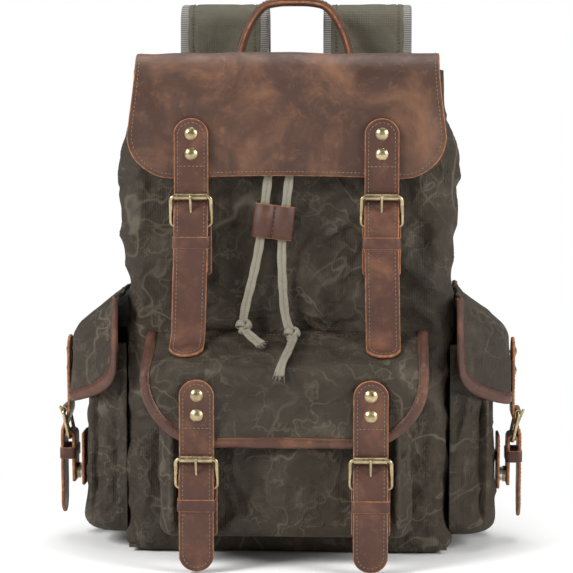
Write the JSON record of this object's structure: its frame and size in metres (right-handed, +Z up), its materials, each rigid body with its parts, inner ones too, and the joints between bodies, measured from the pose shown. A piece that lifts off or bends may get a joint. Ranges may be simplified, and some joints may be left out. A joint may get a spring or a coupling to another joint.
{
  "type": "travel backpack",
  "caption": "Waxed-canvas flap-top backpack with leather flap, buckled leather straps, drawcord mouth, front pocket and two side pockets.",
  "frame": {"origin": "middle of the base, on the ground", "axes": "+Z up, the front with the buckled straps faces -Y, +X to the right as seen from the front"},
  "size_m": [0.4394, 0.3126, 0.509],
  "materials": {
    "flap_leather": "waxed, mottled, raw edge",
    "strap_leather": "waxed, stitched, raw edge",
    "canvas": "waxed canvas with pale creases",
    "antique_brass": "antique, worn",
    "snap_steel": "satin",
    "board": "matte",
    "cord_canvas": "folded canvas strip",
    "strap_canvas": "padded canvas",
    "webbing": "ribbed webbing"
  },
  "bodies": {
    "adjuster_left": {"adjuster_left": "antique_brass"},
    "adjuster_right": {"adjuster_right": "antique_brass"},
    "root": {"back_panel": "canvas", "base_board": "board", "base_panel": "canvas", "base_tabs": "strap_leather", "drawcord_knots": "cord_canvas", "drawcord_left": "cord_canvas", "drawcord_right": "cord_canvas", "eyelets": "antique_brass", "front_panel": "canvas", "front_pocket_gusset": "canvas", "front_pocket_panel": "canvas", "handle_anchors": "strap_leather", "shoulder_strap_left": "strap_canvas", "shoulder_strap_right": "strap_canvas", "side_panel_left": "canvas", "side_panel_right": "canvas", "side_pocket_left": "canvas", "side_pocket_right": "canvas", "snap_studs": "snap_steel", "strap_webbing": "webbing"},
    "carry_handle": {"carry_handle": "strap_leather"},
    "drawcord_slider": {"drawcord_slider": "strap_leather"},
    "front_flap": {"front_flap": "canvas", "front_flap_binding": "flap_leather", "front_flap_buckle_frames": "antique_brass", "front_flap_chapes": "strap_leather", "front_flap_fasteners": "antique_brass", "front_flap_straps": "strap_leather"},
    "front_left_prong": {"front_left_prong": "antique_brass"},
    "front_left_roller": {"front_left_roller": "antique_brass"},
    "front_right_prong": {"front_right_prong": "antique_brass"},
    "front_right_roller": {"front_right_roller": "antique_brass"},
    "main_flap": {"main_flap": "flap_leather", "main_flap_buckle_frames": "antique_brass", "main_flap_chapes": "strap_leather", "main_flap_fasteners": "antique_brass", "main_flap_straps": "strap_leather"},
    "main_left_prong": {"main_left_prong": "antique_brass"},
    "main_left_roller": {"main_left_roller": "antique_brass"},
    "main_right_prong": {"main_right_prong": "antique_brass"},
    "main_right_roller": {"main_right_roller": "antique_brass"},
    "main_strap_tails": {"main_strap_tails": "strap_leather"},
    "side_flap_left": {"side_flap_left": "canvas", "side_flap_left_binding": "flap_leather", "side_flap_left_buckle_frames": "antique_brass", "side_flap_left_chapes": "strap_leather", "side_flap_left_fasteners": "antique_brass", "side_flap_left_straps": "strap_leather"},
    "side_flap_right": {"side_flap_right": "canvas", "side_flap_right_binding": "flap_leather", "side_flap_right_buckle_frames": "antique_brass", "side_flap_right_chapes": "strap_leather", "side_flap_right_fasteners": "antique_brass", "side_flap_right_straps": "strap_leather"},
    "side_left_prong": {"side_left_prong": "antique_brass"},
    "side_left_roller": {"side_left_roller": "antique_brass"},
    "side_right_prong": {"side_right_prong": "antique_brass"},
    "side_right_roller": {"side_right_roller": "antique_brass"}
  },
  "joints": [
    {"name": "main_flap_hinge", "type": "hinge", "parent": "root", "child": "main_flap", "pos_m": [0, 0.076, 0.448], "axis": [-1, 0, 0], "range_deg": [0, 85]},
    {"name": "front_flap_hinge", "type": "hinge", "parent": "root", "child": "front_flap", "pos_m": [0, -0.0775, 0.205], "axis": [-1, 0, 0], "range_deg": [0, 80], "deforming": ["drawcord_left", "drawcord_right", "drawcord_knots"]},
    {"name": "main_strap_tails_bend", "type": "hinge", "parent": "main_flap", "child": "main_strap_tails", "pos_m": [0, -0.0963, 0.2781], "axis": [-1, 0, 0], "range_deg": [0, 96]},
    {"name": "side_flap_left_hinge", "type": "hinge", "parent": "root", "child": "side_flap_left", "pos_m": [-0.156, 0, 0.2365], "axis": [0, 1, 0], "range_deg": [0, 80]},
    {"name": "side_flap_right_hinge", "type": "hinge", "parent": "root", "child": "side_flap_right", "pos_m": [0.156, 0, 0.2365], "axis": [0, -1, 0], "range_deg": [0, 80]},
    {"name": "carry_handle_swing", "type": "hinge", "parent": "root", "child": "carry_handle", "pos_m": [0, 0.092, 0.449], "axis": [-1, 0, 0], "range_deg": [0, 20]},
    {"name": "main_left_roller_spin", "type": "hinge", "parent": "main_flap", "child": "main_left_roller", "pos_m": [-0.085, -0.095, 0.328], "axis": [1, 0, 0], "continuous": true},
    {"name": "main_left_prong_lift", "type": "hinge", "parent": "main_flap", "child": "main_left_prong", "pos_m": [-0.085, -0.0896, 0.302], "axis": [1, 0, 0], "range_deg": [0, 15]},
    {"name": "main_right_roller_spin", "type": "hinge", "parent": "main_flap", "child": "main_right_roller", "pos_m": [0.085, -0.095, 0.328], "axis": [1, 0, 0], "continuous": true},
    {"name": "main_right_prong_lift", "type": "hinge", "parent": "main_flap", "child": "main_right_prong", "pos_m": [0.085, -0.0896, 0.302], "axis": [1, 0, 0], "range_deg": [0, 15]},
    {"name": "front_left_roller_spin", "type": "hinge", "parent": "front_flap", "child": "front_left_roller", "pos_m": [-0.0765, -0.148, 0.101], "axis": [1, 0, 0], "continuous": true},
    {"name": "front_left_prong_lift", "type": "hinge", "parent": "front_flap", "child": "front_left_prong", "pos_m": [-0.0765, -0.1426, 0.075], "axis": [1, 0, 0], "range_deg": [0, 15]},
    {"name": "front_right_roller_spin", "type": "hinge", "parent": "front_flap", "child": "front_right_roller", "pos_m": [0.0765, -0.148, 0.101], "axis": [1, 0, 0], "continuous": true},
    {"name": "front_right_prong_lift", "type": "hinge", "parent": "front_flap", "child": "front_right_prong", "pos_m": [0.0765, -0.1426, 0.075], "axis": [1, 0, 0], "range_deg": [0, 15]},
    {"name": "side_left_roller_spin", "type": "hinge", "parent": "side_flap_left", "child": "side_left_roller", "pos_m": [-0.213, 0, 0.122], "axis": [0, -1, 0], "continuous": true},
    {"name": "side_left_prong_lift", "type": "hinge", "parent": "side_flap_left", "child": "side_left_prong", "pos_m": [-0.2076, 0, 0.096], "axis": [0, -1, 0], "range_deg": [0, 15]},
    {"name": "side_right_roller_spin", "type": "hinge", "parent": "side_flap_right", "child": "side_right_roller", "pos_m": [0.213, 0, 0.122], "axis": [0, 1, 0], "continuous": true},
    {"name": "side_right_prong_lift", "type": "hinge", "parent": "side_flap_right", "child": "side_right_prong", "pos_m": [0.2076, 0, 0.096], "axis": [0, 1, 0], "range_deg": [0, 15]},
    {"name": "drawcord_slider_slide", "type": "slide", "parent": "root", "child": "drawcord_slider", "axis": [0.124, 0, 0.9923], "range_m": [-0.01, 0.01]},
    {"name": "adjuster_left_slide", "type": "slide", "parent": "root", "child": "adjuster_left", "axis": [0, 0.3468, 0.938], "range_m": [-0.025, 0.025]},
    {"name": "adjuster_right_slide", "type": "slide", "parent": "root", "child": "adjuster_right", "axis": [0, 0.3468, 0.938], "range_m": [-0.025, 0.025]}
  ],
  "couplings": [
    {"joint": "main_strap_tails_bend", "follows": "front_flap_hinge", "ratio": 1.2}
  ]
}
